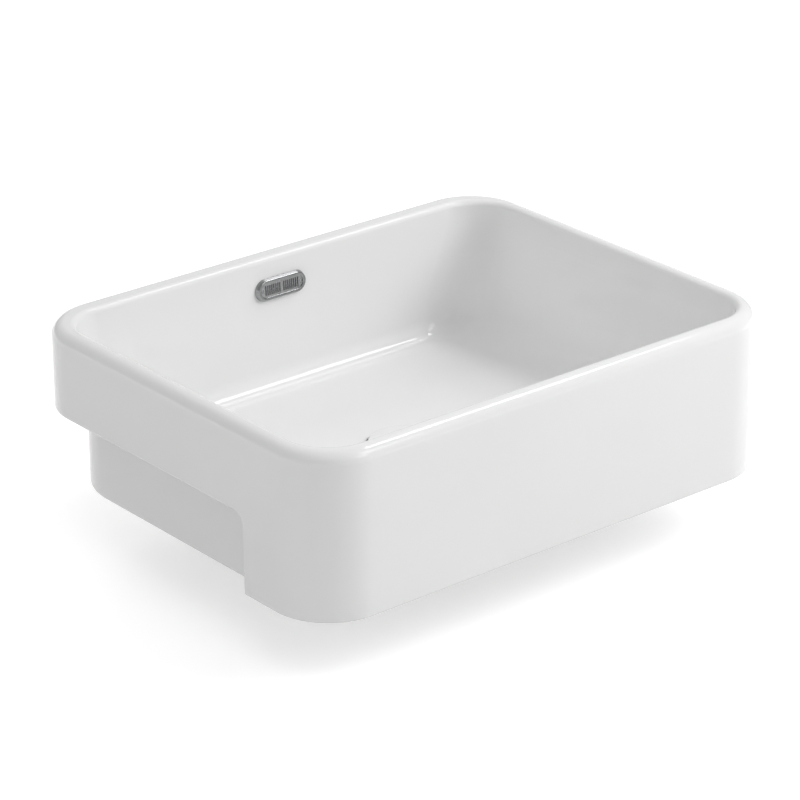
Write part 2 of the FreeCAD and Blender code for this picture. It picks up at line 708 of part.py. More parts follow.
def cartridge_locknut():
    """Thin nut under the bridge that fixes the cartridge's height."""
    top = BRIDGE_TOP - BRIDGE_THICKNESS
    bottom = top - LOCKNUT_HEIGHT
    return hexagon(LOCKNUT_ACROSS_FLATS, bottom, top).cut(
        disc(HOUSING_STUD_RADIUS + FIT, bottom - 1, top + 1))


def cartridge_retainer():
    """Screwed cover whose flatted hole keeps the plunger from turning."""
    head = disc(HOUSING_RADIUS, HOUSING_TOP, RETAINER_TOP)
    thread = disc(HOUSING_BORE - FIT, RETAINER_UNDER, HOUSING_TOP)
    hole = flatted_bar(STEM_RADIUS + FIT, STEM_FLAT + FIT, RETAINER_UNDER - 1, RETAINER_TOP + 1)
    return head.fuse(thread).cut(hole)


def latch_washer():
    """Bearing washer between the housing's shelf and the latch ring."""
    return ring(
        SPRING_WELL_RADIUS + 0.2, RING_OUTER_RADIUS, HOUSING_SHELF, HOUSING_SHELF + WASHER_THICKNESS)


def track_section(angle, z):
    """Upright rectangle across the ring's wall, square to its radius, for the track's loft."""
    inner = RING_INNER_RADIUS - 0.5
    corners = []
    for radius, side in ((inner, -1), (TRACK_RADIUS, -1), (TRACK_RADIUS, 1), (inner, 1), (inner, -1)):
        height = z + side * TRACK_HALF_HEIGHT
        turn = math.radians(angle)
        corners.append(Vector(radius * math.cos(turn), radius * math.sin(turn), height))
    return Part.makePolygon(corners)


def latch_ring():
    """Ring with a zigzag track on its inside: four rises and four falls in a turn."""
    body = ring(RING_INNER_RADIUS, RING_OUTER_RADIUS, RING_BOTTOM, RING_TOP)
    cuts = []
    for flank in range(TRACK_FLANKS):
        sections = []
        for step in range(FLANK_STEPS + 1):
            share = step / FLANK_STEPS
            rise = share if flank % 2 == 0 else 1 - share
            sections.append(track_section(-TURN_PER_LIFT * (flank + share), PIN_Z + LIFT * rise))
        cuts.append(Part.makeLoft(sections, True, True))
    for corner in range(TRACK_FLANKS):
        angle = math.radians(-TURN_PER_LIFT * corner)
        height = PIN_Z + (LIFT if corner % 2 else 0)
        outward = Vector(math.cos(angle), math.sin(angle), 0)
        start = outward * (RING_INNER_RADIUS - 1) + Vector(0, 0, height)
        reach = TRACK_RADIUS - RING_INNER_RADIUS + 1
        cuts.append(Part.makeCylinder(TRACK_TURN_RADIUS, reach, start, outward))
    return body.cut(cuts)


def cartridge_spring():
    """The space that the plug's spring fills while the plug is closed."""
    return ring(SPRING_INNER_RADIUS, SPRING_OUTER_RADIUS, SPRING_WELL_BOTTOM, COLLAR_BOTTOM)


PIECES = (
    basin_body,
    overflow_bezel,
    overflow_gasket,
    overflow_sleeve,
    overflow_grille,
    overflow_rivets,
    waste_body,
    flange_seal,
    lower_gasket,
    friction_washer,
    backnut,
    plug_cap,
    cap_pad,
    cap_carrier,
    plug_seal,
    plug_plunger,
    follower_pin,
    cartridge_housing,
    cartridge_locknut,
    cartridge_retainer,
    cartridge_spring,
    latch_washer,
    latch_ring,
)


def main():
    """Writes every piece to its own file and prints what it measures."""
    os.makedirs("parts", exist_ok=True)
    for piece in PIECES:
        shape = piece()
        print(piece.__name__, len(shape.Solids), shape.isValid(), round(shape.Volume))
        shape.exportStep("parts/" + piece.__name__ + ".step")


if __name__ == "__main__":
    main()
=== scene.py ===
import json
import math

import bmesh
import bpy
import numpy as np
from mathutils import Matrix, Vector

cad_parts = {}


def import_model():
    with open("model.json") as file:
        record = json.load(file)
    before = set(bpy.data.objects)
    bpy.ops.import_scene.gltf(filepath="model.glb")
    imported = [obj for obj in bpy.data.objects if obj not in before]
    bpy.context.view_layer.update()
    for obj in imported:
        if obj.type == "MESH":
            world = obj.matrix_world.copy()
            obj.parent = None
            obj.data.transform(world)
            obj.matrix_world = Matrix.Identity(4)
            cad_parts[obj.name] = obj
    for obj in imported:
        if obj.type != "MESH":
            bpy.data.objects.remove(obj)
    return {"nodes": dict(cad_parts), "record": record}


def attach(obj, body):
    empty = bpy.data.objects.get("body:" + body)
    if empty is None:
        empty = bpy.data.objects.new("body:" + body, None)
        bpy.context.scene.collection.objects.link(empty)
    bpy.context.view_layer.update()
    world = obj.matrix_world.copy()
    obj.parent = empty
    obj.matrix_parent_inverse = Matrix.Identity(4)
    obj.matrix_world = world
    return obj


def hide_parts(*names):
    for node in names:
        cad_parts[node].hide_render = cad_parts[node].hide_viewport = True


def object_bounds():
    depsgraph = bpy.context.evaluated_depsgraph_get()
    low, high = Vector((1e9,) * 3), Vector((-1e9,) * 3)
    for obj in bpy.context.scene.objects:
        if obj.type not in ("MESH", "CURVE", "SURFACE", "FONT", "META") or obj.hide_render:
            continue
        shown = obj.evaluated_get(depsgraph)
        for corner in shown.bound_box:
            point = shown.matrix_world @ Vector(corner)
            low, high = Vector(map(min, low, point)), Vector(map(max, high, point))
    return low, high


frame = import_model()
cad_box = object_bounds()

# A semi recessed ceramic basin: its glazed body, plug cap, overflow trim, waste and nut are modelled
# here in fine detail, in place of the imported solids; the other nodes keep their solids. Sizes are in
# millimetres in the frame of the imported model, until Build.mesh turns them into metres.

MM = 0.001
QUARTER = math.pi / 2
MIRROR = np.array((-1.0, 1, 1))
DOWN = np.array((0, 0, -1.0))

# Ceramic body, outside
HALF_X = 250.0
HALF_Y = 196.0
PLAN_CORNER = 55.0
TOP = 76.0
BASE = -70.0
RIM_OUTER = 11.0
EDGE = 2.5
APRON_REAR = -100.0
APRON_ARC = 11.0
RECESS_INSET = 16.5
RECESS_X = HALF_X - RECESS_INSET
RECESS_FRONT = RECESS_INSET - HALF_Y
RECESS_BACK = 178.0
RECESS_CORNER = 64.0
RECESS_BASE = 5.5
RECESS_INNER_EDGE = 4.0

# Rim's inner rounding: how far it rises, its lean where it meets the wall, and the half width, front,
# back and corner radius of the line where it starts on top
RIM_INNER_RISE = 5.6
RIM_INNER_LEAN = 0.06
RIM_INNER_TOP = (238.9, -184.9, 178.0, 44.5)

# Bowl: half width by height, and where its back and front walls stand at the top; slopes and leans
# are tangents and radians off the vertical
SIDE_Z = (76.0, 60.0, 45.0, 29.0, 14.0, -6.0, -25.0, -43.5)
SIDE_X = (233.6, 231.8, 227.8, 221.8, 214.8, 208.5, 204.3, 199.5)
BACK_TOP = 172.8
FRONT_TOP = -180.4
END_SLOPE = 0.0395
CORNER_TOP = 39.0
CORNER_FLOOR = 45.0
FLOOR = -43.5
FILLET_SIDES = 34.0
FILLET_ENDS = 17.0
LEAN_SIDES = 0.235
LEAN_ENDS = 0.0395
FALL_RADIUS = 160.0
FALL_SAG = 0.15
DRAIN_FLOOR = -46.0
SEAT_RADIUS = 34.5
SEAT_EDGE = 0.5
SEAT_Z = -51.0
DRAIN_HOLE = 23.0

# Overflow slot behind its trim
SLOT_HALF = 20.0
SLOT_LOW = 41.0
SLOT_HIGH = 53.0
SLOT_DEPTH = 9.0
OVERFLOW_Z = 47.0

# Underside: the hollow is given like RIM_INNER_TOP
WALL = 10.0
SKIRT = 11.0
HOLLOW = (RECESS_X - SKIRT, SKIRT - HALF_Y, RECESS_BACK - SKIRT, RECESS_CORNER - SKIRT)
HOLLOW_TOP = 4.0
BOSS_RADIUS = 40.0
BOSS_CHAMFER = 1.0

# Rib of the overflow way: half widths across its rounded rear, and where it ends inside the body
RIB_WIDTHS = (31.0, 30.2, 28.0, 25.0)
RIB_REAR = 190.0
RIB_CORNER = 6.0
RIB_FOOT = BASE + 0.2
RIB_FRONT = 36.0
RIB_INNER = 174.0
RIB_FLOOR = -49.0
RIB_TOP = 1.0

# Columns of the body's mesh round its plan outline: x of those on its front and back, mirrored on the
# front, and the numbers of those on each side and corner
BACK_X = (140.0, 110.0, 80.0, 50.0, 20.0, 0.0, -20.0, -50.0, -80.0, -110.0, -140.0)
SIDE_PARTS = 12
CORNER_PARTS = 28

# Rows of the body's mesh on each of its forms. The recess leaves its lowest rows to the edge of the
# foot, and one of its rows falls among that edge's, which makes EDGE_ROWS. Points nearer than SAME
# are one point.
RIM_STEPS = 12
RIM_INNER_STEPS = 9
WALL_STEPS = 22
FILLET_STEPS = 12
FLOOR_STEPS = 16
EDGE_STEPS = 5
ARC_STEPS = 8
BASE_STEPS_HIDDEN = 5
EDGE_ROWS = EDGE_STEPS + 2
ROOF_FILLET_STEPS = 16
ROOF_WALL_STEPS = 4
ROOF_STEPS = 15
SAME = 0.01


# Mesh building

class Build:
    """Collects faces given by their corner points in millimetres, then makes one mesh."""

    def __init__(self):
        self.points = []
        self.faces = []

    def face(self, corners):
        start = len(self.points)
        self.points.extend([tuple(map(float, corner)) for corner in corners])
        self.faces.append(tuple(range(start, start + len(corners))))

    def grid(self, rows, closed=False, skip=None):
        """Quads between rows of points; closed joins each row's last point to its first."""
        rows = [np.asarray(row, float) for row in rows]
        count = len(rows[0])
        start = len(self.points)
        for row in rows:
            self.points.extend(map(tuple, row))
        for r in range(len(rows) - 1):
            for c in range(count if closed else count - 1):
                if skip and skip(r, c):
                    continue
                d = (c + 1) % count
                low, high = start + r * count, start + (r + 1) * count
                self.faces.append((low + c, low + d, high + d, high + c))

    def mesh(self, name, weld=0.002, sharp=38.0):
        work = bmesh.new()
        made = [work.verts.new(Vector(point) * MM) for point in self.points]
        for corners in self.faces:
            work.faces.new([made[index] for index in corners])
        bmesh.ops.remove_doubles(work, verts=work.verts, dist=weld * MM)
        bmesh.ops.dissolve_degenerate(work, edges=work.edges, dist=weld * MM)
        bmesh.ops.recalc_face_normals(work, faces=work.faces)
        mesh = bpy.data.meshes.new(name)
        work.to_mesh(mesh)
        work.free()
        set_normals(mesh, sharp)
        return mesh


def set_normals(mesh, sharp):
    """Each corner's normal is the area-weighted mean of the faces within an angle of its own."""
    count = len(mesh.polygons)
    loops = len(mesh.loops)
    normals = np.empty(count * 3)
    areas = np.empty(count)
    totals = np.empty(count, int)
    vertex = np.empty(loops, int)
    mesh.polygons.foreach_get("normal", normals)
    mesh.polygons.foreach_get("area", areas)
    mesh.polygons.foreach_get("loop_total", totals)
    mesh.loops.foreach_get("vertex_index", vertex)
    normals = normals.reshape(-1, 3)
    owner = np.repeat(np.arange(count), totals)
    order = np.argsort(vertex, kind="stable")
    splits = np.flatnonzero(np.diff(vertex[order])) + 1
    limit = math.cos(math.radians(sharp))
    result = np.zeros((loops, 3))
    for group in np.split(order, splits):
        own = normals[owner[group]]
        near = (own @ own.T) > limit
        mean = near @ (own * areas[owner[group]][:, None])
        length = np.linalg.norm(mean, axis=1, keepdims=True)
        result[group] = mean / np.maximum(length, 1e-12)
    mesh.polygons.foreach_set("use_smooth", np.ones(count, bool))
    mesh.normals_split_custom_set(result.tolist())
    mesh.update()


def piece(name, mesh, body, slot, node):
    """A new object on a body, finished like a slot of the record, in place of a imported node."""
    made = bpy.data.objects.new(name, mesh)
    bpy.context.scene.collection.objects.link(made)
    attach(made, body)
    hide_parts(node)
    mesh.materials.append(MATERIALS[slot])


def circle_row(radius, z, steps):
    """Points of a circle round the drain's axis at one height."""
    return [(radius * math.cos(2 * math.pi * s / steps), radius * math.sin(2 * math.pi * s / steps), z)
            for s in range(steps)]


def circle_rows(steps, *profile):
    return [circle_row(radius, z, steps) for radius, z in profile]


# The body's plan outlines

def column_frame():
    """For each column: which corner or side it is on, and its place there."""
    columns = []
    for side in ("front", "front_right", "right", "back_right", "back", "back_left", "left", "front_left"):
        if side in ("front", "back"):
            columns += [(side, index) for index in range(len(BACK_X) + 1)]
        else:
            parts = SIDE_PARTS if side in ("right", "left") else CORNER_PARTS
            columns += [(side, index / parts) for index in range(parts)]
    return columns


COLUMNS = column_frame()
COUNT = len(COLUMNS)
CORNER_START = {"front_right": -90.0, "back_right": 0.0, "back_left": 90.0, "front_left": 180.0}


def column_angles():
    """Direction that each column's outline faces, in plan."""
    angles = []
    for side, place in COLUMNS:
        if side in CORNER_START:
            angles.append(CORNER_START[side] + 90.0 * place)
        else:
            angles.append({"front": -90.0, "right": 0.0, "back": 90.0, "left": 180.0}[side])
    return np.radians(angles)


ANGLES = column_angles()
OUTWARD = np.column_stack([np.cos(ANGLES), np.sin(ANGLES)])


def outline(half_x, front, back, corner, inset=0.0):
    """Plan points of every column; each size is one number or one for each column."""
    half_x, front, back, corner, inset = (
        np.broadcast_to(np.asarray(size, float), COUNT)
        for size in (half_x, front, back, corner, inset))
    points = np.empty((COUNT, 2))
    for c, (side, place) in enumerate(COLUMNS):
        reach_x = half_x[c] - corner[c]
        low_y = front[c] + corner[c]
        high_y = back[c] - corner[c]
        if side in CORNER_START:
            x = reach_x if side.endswith("right") else -reach_x
            y = low_y if side.startswith("front") else high_y
            points[c] = (x, y)
            points[c] += corner[c] * OUTWARD[c]
        elif side == "right":
            points[c] = (half_x[c], low_y + (high_y - low_y) * place)
        elif side == "left":
            points[c] = (-half_x[c], high_y + (low_y - high_y) * place)
        else:
            sign = -1.0 if side == "front" else 1.0
            x = reach_x if place == 0 else BACK_X[place - 1]
            points[c] = (sign * x, back[c] if side == "back" else front[c])
    return points - OUTWARD * inset[:, None]


def at_height(points, z):
    """Plan points with their heights."""
    return np.column_stack([points, np.broadcast_to(np.asarray(z, float), len(points))])


def hermite(x, knots, values):
    """Smooth curve through given values; the knots fall."""
    knots = np.asarray(knots, float)[::-1]
    values = np.asarray(values, float)[::-1]
    slopes = np.gradient(values, knots)
    x = np.clip(np.asarray(x, float), knots[0], knots[-1])
    k = np.clip(np.searchsorted(knots, x) - 1, 0, len(knots) - 2)
    width = knots[k + 1] - knots[k]
    t = (x - knots[k]) / width
    return ((2 * t ** 3 - 3 * t ** 2 + 1) * values[k] + (t ** 3 - 2 * t ** 2 + t) * width * slopes[k]
            + (3 * t ** 2 - 2 * t ** 3) * values[k + 1] + (t ** 3 - t ** 2) * width * slopes[k + 1])


def bowl_sizes(z):
    """Half width, front, back and corner radius of the bowl's wall at a height."""
    fall = (TOP - np.asarray(z, float)) * END_SLOPE
    share = (TOP - np.asarray(z, float)) / (TOP - FLOOR)
    corner = CORNER_TOP + (CORNER_FLOOR - CORNER_TOP) * share
    return hermite(z, SIDE_Z, SIDE_X), FRONT_TOP + fall, BACK_TOP - fall, corner


def side_share():
    """1 on the side walls, 0 on the front and back walls, turning smoothly in the corners."""
    return np.cos(ANGLES) ** 2


def rounding(steps, start=0.0, end=QUARTER):
    """Angles of an arc in even steps, a quarter turn unless told otherwise."""
    return [start + (end - start) * step / steps for step in range(steps + 1)]


def upper_rows():
    """Rows of points from the outer wall over the rim, down the bowl and into the drain hole."""
    rows = []
    rim = (HALF_X, -HALF_Y, HALF_Y, PLAN_CORNER)
    for turn in rounding(RIM_STEPS):
        inset = RIM_OUTER * (1 - math.cos(turn))
        rows.append(at_height(outline(*rim, inset), TOP - RIM_OUTER + RIM_OUTER * math.sin(turn)))
    wall_top = TOP - RIM_INNER_RISE * (1 - math.sin(RIM_INNER_LEAN))
    ridge = outline(*RIM_INNER_TOP)
    wall = outline(*bowl_sizes(wall_top))
    reach = math.cos(RIM_INNER_LEAN)
    for turn in reversed(rounding(RIM_INNER_STEPS, RIM_INNER_LEAN)):
        share = 1 - (reach - math.cos(turn)) / reach
        rows.append(at_height(
            ridge + (wall - ridge) * share, TOP - RIM_INNER_RISE * (1 - math.sin(turn))))

    sides = side_share()
    radius = FILLET_ENDS + (FILLET_SIDES - FILLET_ENDS) * sides
    lean = LEAN_ENDS + (LEAN_SIDES - LEAN_ENDS) * sides
    fillet_top = FLOOR + radius * (1 - np.sin(lean))
    end_top = FLOOR + FILLET_ENDS * (1 - math.sin(LEAN_ENDS))
    drops = [(wall_top - z) / (wall_top - end_top) for z in (SLOT_HIGH, SLOT_LOW)]
    shares = sorted([step / WALL_STEPS for step in range(1, WALL_STEPS + 1)] + drops)
    slot_rows = []
    for share in shares:
        if share in drops:
            slot_rows.append(len(rows))
        z = wall_top + (fillet_top - wall_top) * share
        rows.append(at_height(outline(*bowl_sizes(z)), z))

    for step in range(1, FILLET_STEPS + 1):
        turn = lean + (QUARTER - lean) * step / FILLET_STEPS
        inset = radius * (np.cos(lean) - np.cos(turn))
        z = FLOOR + radius * (1 - np.sin(turn))
        rows.append(at_height(outline(*bowl_sizes(fillet_top), inset), z))

    edge = rows[-1][:, :2]
    around = np.arctan2(edge[:, 1], edge[:, 0])
    ray = np.column_stack([np.cos(around), np.sin(around)])
    for step in range(1, FLOOR_STEPS + 1):
        share = step / FLOOR_STEPS
        flat = edge + (ray * (SEAT_RADIUS + SEAT_EDGE) - edge) * share
        distance = np.linalg.norm(flat, axis=1)
        inward = np.clip((FALL_RADIUS - distance) / (FALL_RADIUS - SEAT_RADIUS), 0, 1)
        fall = inward - FALL_SAG * np.sin(math.pi * np.minimum(inward * 2, 1))
        rows.append(at_height(flat, FLOOR + (DRAIN_FLOOR - FLOOR) * fall))
    seat = [(SEAT_RADIUS + SEAT_EDGE * (1 - math.sin(turn)),
             DRAIN_FLOOR - SEAT_EDGE * (1 - math.cos(turn))) for turn in rounding(EDGE_STEPS)[1:]]
    seat += [(SEAT_RADIUS, SEAT_Z), (DRAIN_HOLE, SEAT_Z), (DRAIN_HOLE, BASE)]
    for distance, z in seat:
        rows.append(at_height(ray * distance, z))
    return rows, slot_rows


def column_range(first, last):
    """Columns from the start of one side to the start of another, the last one included."""
    start = [side for side, place in COLUMNS].index(first)
    stop = [side for side, place in COLUMNS].index(last)
    if stop <= start:
        stop += COUNT
    return [index % COUNT for index in range(start, stop + 1)]


FRONT_COLUMNS = column_range("front_left", "right")
BACK_COLUMNS = column_range("back_right", "left")


def overflow_pocket(build, rows, slot_rows):
    """The slot through the back wall, as a pocket behind the trim."""
    right = COLUMNS.index(("back", BACK_X.index(SLOT_HALF) + 1))
    left = COLUMNS.index(("back", BACK_X.index(-SLOT_HALF) + 1))
    high, low = slot_rows
    loop = [rows[high][c] for c in range(right, left + 1)]
    loop += [rows[r][left] for r in range(high + 1, low)]
    loop += [rows[low][c] for c in range(left, right - 1, -1)]
    loop += [rows[r][right] for r in range(low - 1, high, -1)]
    deep = [point + np.array((0, SLOT_DEPTH, 0)) for point in loop]
    build.grid([loop, deep], closed=True)
    build.face(deep)
    return lambda r, c: high <= r < low and right <= c < left


def base_levels():
    """Heights of the rows that round the body's lower edges."""
    levels = [BASE + EDGE * (1 - math.cos(turn)) for turn in rounding(EDGE_STEPS)]
    levels += [BASE + RECESS_BASE * (1 - math.cos(turn))
               for turn in rounding(ARC_STEPS)[BASE_STEPS_HIDDEN:]]
    return sorted(set(round(level, 6) for level in levels))


def hung_back(level, radius):
    """How far a rounded lower edge stands in from its wall at a height."""
    over = level - BASE
    if over >= radius:
        return 0.0
    return radius - math.sqrt(radius ** 2 - (radius - over) ** 2)


def edge_path():
    """Stations of the lower outer edge from the right of the apron round the back to its left.

    Each is (outer point, outer outward, inner point, facing): the strip between the two points
    faces 'facing', down on the ledge and backward behind the apron.
    """
    stations = []
    arc_y = APRON_REAR + APRON_ARC
    for turn in rounding(ARC_STEPS):
        facing = np.array((0, math.cos(turn), -math.sin(turn)))
        y, z = arc_y - APRON_ARC * math.cos(turn), -APRON_ARC + APRON_ARC * math.sin(turn)
        stations.append((np.array((HALF_X, y, z)), np.array((1.0, 0, 0)),
                         np.array((RECESS_X, y, z)), facing))
    outer = outline(HALF_X, -HALF_Y, HALF_Y, PLAN_CORNER)
    inner = outline(RECESS_X, RECESS_FRONT, RECESS_BACK, RECESS_CORNER)
    for c in BACK_COLUMNS:
        out = np.array((*OUTWARD[c], 0))
        stations.append((np.array((*outer[c], 0)), out, np.array((*inner[c], 0)), DOWN))
    mirrored = [(point * MIRROR, out * MIRROR, other * MIRROR, facing)
                for point, out, other, facing in reversed(stations[:ARC_STEPS + 1])]
    return stations + mirrored


def edge_section(station):
    """Points across the strip: rounded outer edge, flat, and hollow inner edge."""
    point, out, other, facing = station
    section = []
    for turn in rounding(EDGE_STEPS):
        section.append(point + out * (math.cos(turn) - 1) * EDGE + facing * (math.sin(turn) - 1) * EDGE)
    for turn in rounding(EDGE_STEPS):
        section.append(
            other + out * RECESS_INNER_EDGE * (1 - math.sin(turn))
            + facing * RECESS_INNER_EDGE * (1 - math.cos(turn)))
    return section


def apron_section(level):
    """The same strip across the apron's rear at one height, on the right."""
    round_in = hung_back(level, EDGE)
    radius = EDGE - round_in
    wall = RECESS_X - hung_back(level, RECESS_BASE)
    rear = APRON_REAR - round_in
    section = []
    for turn in rounding(EDGE_STEPS):
        section.append((HALF_X - EDGE + radius * math.cos(turn),
                        APRON_REAR - EDGE + radius * math.sin(turn), level))
    for turn in rounding(EDGE_STEPS):
        section.append((wall + RECESS_INNER_EDGE * (1 - math.sin(turn)),
                        rear + RECESS_INNER_EDGE * (1 - math.cos(turn)), level))
    return np.array(section)


def recess_front(level):
    """Where the recessed wall starts behind the apron at one height."""
    return APRON_REAR - hung_back(level, EDGE) + RECESS_INNER_EDGE


def recess_row(level):
    """Points along the recessed wall at one height, from the apron's right to its left."""
    inset = hung_back(level, RECESS_BASE)
    points = outline(RECESS_X - inset, RECESS_FRONT, RECESS_BACK - inset, RECESS_CORNER - inset)
    wall = RECESS_X - inset
    row = [(wall, recess_front(level))]
    row += [tuple(points[c]) for c in BACK_COLUMNS]
    row.append((-wall, recess_front(level)))
    return at_height(np.array(row), level)


def front_row(level):
    """Points along the apron's foot at one height, from its left rear round to its right rear."""
    inset = hung_back(level, EDGE)
    points = outline(HALF_X - inset, -HALF_Y + inset, HALF_Y - inset, PLAN_CORNER - inset)
    side = HALF_X - inset
    rear = APRON_REAR - EDGE
    row = [(-side, rear)] + [tuple(points[c]) for c in FRONT_COLUMNS]
    row.append((side, rear))
    return at_height(np.array(row), level)


def lower_outside(build, rim_row):
    """Outer walls below the rim, apron, ledge, recessed wall and foot edges."""
    arc_end = ARC_STEPS + 1
    levels = base_levels()
    foot_levels = levels[:EDGE_ROWS]
    strips = [edge_section(station) for station in edge_path()]

    apron = [apron_section(level) for level in levels]
    right = apron + [np.array(strips[0])]
    build.grid(right)
    build.grid([section * MIRROR for section in right])
    build.grid(strips)

    # Tall walls of the front and the back
    foot = front_row(foot_levels[-1])
    build.grid([[rim_row[c] for c in FRONT_COLUMNS], foot[1:-1]])
    ledge = strips[arc_end:-arc_end]
    build.grid([[rim_row[c] for c in BACK_COLUMNS], [section[0] for section in ledge]])
    build.grid([front_row(level) for level in foot_levels])

    # Flat sides of the band and apron
    face = [foot[-2], foot[-1]]
    face += [section[0] for section in apron[EDGE_ROWS:] + strips[:arc_end + 1]]
    face += [rim_row[c] for c in column_range("right", "back_right")][::-1]
    build.face(face)
    build.face([np.asarray(point) * MIRROR for point in face])

    # Recessed body with its flat sides
    wall = [recess_row(level) for level in levels]
    build.grid(wall)
    inner = [section[-1] for section in strips]
    build.grid([inner[arc_end:-arc_end], wall[-1][1:-1]])
    face = [wall[-1][0]] + inner[:arc_end + 1] + [wall[-1][1]]
    build.face(face)
    build.face([np.asarray(point) * MIRROR for point in face])


def foot_loops():
    """Outer and inner edge of the flat foot."""
    front = front_row(BASE)
    section = apron_section(BASE)
    wall = recess_row(BASE)
    rear = section[EDGE_STEPS:-1]
    loop = [*front, *rear, *wall, *(point * MIRROR for point in rear[::-1])]
    return loop, at_height(outline(*HOLLOW), BASE)


def hollow_roof(limit):
    """Rows over the hollow, from the skirt's inner wall in to the flat floor's underside.

    They follow the bowl's outer surface, and stop in each column where it reaches the skirt.
    """
    sides = side_share()
    radius = FILLET_ENDS + (FILLET_SIDES - FILLET_ENDS) * sides + WALL
    lean = LEAN_ENDS + (LEAN_SIDES - LEAN_ENDS) * sides
    floor = FLOOR - WALL
    fillet_top = floor + radius * (1 - np.sin(lean))
    path = []
    for turn in reversed(rounding(ROOF_FILLET_STEPS)):
        turn = lean + (QUARTER - lean) * turn / QUARTER
        inset = radius * (np.cos(lean) - np.cos(turn)) - WALL
        z = floor + radius * (1 - np.sin(turn))
        path.append(at_height(outline(*bowl_sizes(fillet_top), inset), z))
    for step in range(1, ROOF_WALL_STEPS + 1):
        share = step / ROOF_WALL_STEPS
        z = fillet_top + (np.maximum(HOLLOW_TOP, fillet_top) - fillet_top) * share
        path.append(at_height(outline(*bowl_sizes(z), -WALL), z))
    path = np.array(path)
    reach = (path[:, :, :2] * OUTWARD).sum(2)
    ends = np.full(COUNT, len(path) - 1.0)
    for c in range(COUNT):
        beyond = np.flatnonzero(reach[:, c] > limit[c])
        if len(beyond):
            k = beyond[0]
            ends[c] = k - (reach[k, c] - limit[c]) / (reach[k, c] - reach[k - 1, c])
    rows = []
    for step in range(ROOF_STEPS, -1, -1):
        where = ends * step / ROOF_STEPS
        low = np.minimum(where.astype(int), len(path) - 2)
        part = (where - low)[:, None]
        columns = np.arange(COUNT)
        rows.append(path[low, columns] * (1 - part) + path[low + 1, columns] * part)
    return rows


def without_repeats(loop):
    """A closed loop of points without those that lie on the one before."""
    kept = [loop[0]]
    for point in loop[1:]:
        if np.linalg.norm(point - kept[-1]) > SAME:
            kept.append(point)
    if np.linalg.norm(kept[0] - kept[-1]) < SAME:
        kept.pop()
    return kept


def underside(build, drain_row):
    """Flat foot, the hollow under the bowl and the boss round the drain."""
    ring = bmesh.new()
    for loop in foot_loops():
        made = [ring.verts.new(Vector(point)) for point in without_repeats(loop)]
        for index, vertex in enumerate(made):
            ring.edges.new((vertex, made[(index + 1) % len(made)]))
    bmesh.ops.triangle_fill(ring, edges=ring.edges[:], use_beauty=True, normal=(0, 0, -1))
    for face in ring.faces:
        build.face([vertex.co[:] for vertex in face.verts])
    ring.free()

    limit = outline(*HOLLOW)
    rows = [at_height(limit, BASE)]
    rows += hollow_roof((limit * OUTWARD).sum(1))
    edge = rows[-1][:, :2]
    ray = drain_row[:, :2] / DRAIN_HOLE
    roof = FLOOR - WALL
    rows.append(at_height(edge + (ray * BOSS_RADIUS - edge) / 2, roof))
    rows.append(at_height(ray * BOSS_RADIUS, roof))
    rows.append(at_height(ray * BOSS_RADIUS, BASE + BOSS_CHAMFER))
    rows.append(at_height(ray * (BOSS_RADIUS - BOSS_CHAMFER), BASE))
    rows.append(at_height(ray * DRAIN_HOLE, BASE))
    build.grid(rows, closed=True)


def overflow_rib(build):
    """The rib that carries the overflow way down the back and under the floor."""
    rows = []
    for x in [-width for width in RIB_WIDTHS] + list(reversed(RIB_WIDTHS)):
        past = max(abs(x) - (RIB_WIDTHS[0] - RIB_CORNER), 0)
        rear = RIB_REAR - RIB_CORNER + math.sqrt(max(RIB_CORNER ** 2 - past ** 2, 0))
        rows.append([(x, y, z) for y, z in (
            (RIB_FRONT, RIB_FOOT), (rear, RIB_FOOT), (rear, RIB_TOP), (RIB_INNER, RIB_TOP),
            (RIB_INNER, RIB_FLOOR), (RIB_FRONT, RIB_FLOOR))])
    build.grid(rows, closed=True)
    build.face(rows[0])
    build.face(rows[-1])


def basin_mesh():
    build = Build()
    rows, slot_rows = upper_rows()
    skip = overflow_pocket(build, rows, slot_rows)
    build.grid(rows, closed=True, skip=skip)
    lower_outside(build, rows[0])
    underside(build, rows[-1])
    overflow_rib(build)
    return build.mesh("basin_body_glazed")


# Materials: colours and roughnesses drift between two values with a noise, over its middle range

NOISE_MIDDLE = (0.3, 0.7)
RELIEF_HEIGHT = 0.0002
MAP_RANGE = ("From Min", "From Max", "To Min", "To Max")
GLAZE_TONES = ((0.80, 0.80, 0.80), (0.815, 0.815, 0.815))
GLAZE_ROUGHNESS = (0.025, 0.045)
GLAZE_IOR = 1.5
GLAZE_TONE_SCALE = 9.0
GLAZE_GLOSS_SCALE = 26.0
GLAZE_DETAIL = 3.0
METAL_DETAIL = 4.0
PLASTIC_SCALE = 300.0
PLASTIC_DETAIL = 5.0
PLASTIC_RELIEF = 0.15


def tree_of(name):
    material = bpy.data.materials.new(name)
    material.use_nodes = True
    tree = material.node_tree
    return material, tree, tree.nodes["Principled BSDF"]


def object_place(tree, scale):
    place = tree.nodes.new("ShaderNodeTexCoord")
    mapping = tree.nodes.new("ShaderNodeMapping")
    mapping.inputs["Scale"].default_value = scale
    tree.links.new(place.outputs["Object"], mapping.inputs["Vector"])
    return mapping.outputs["Vector"]


def noise(tree, where, scale, detail):
    node = tree.nodes.new("ShaderNodeTexNoise")
    node.inputs["Scale"].default_value = scale
    node.inputs["Detail"].default_value = detail
    tree.links.new(where, node.inputs["Vector"])
    return node.outputs["Fac"]


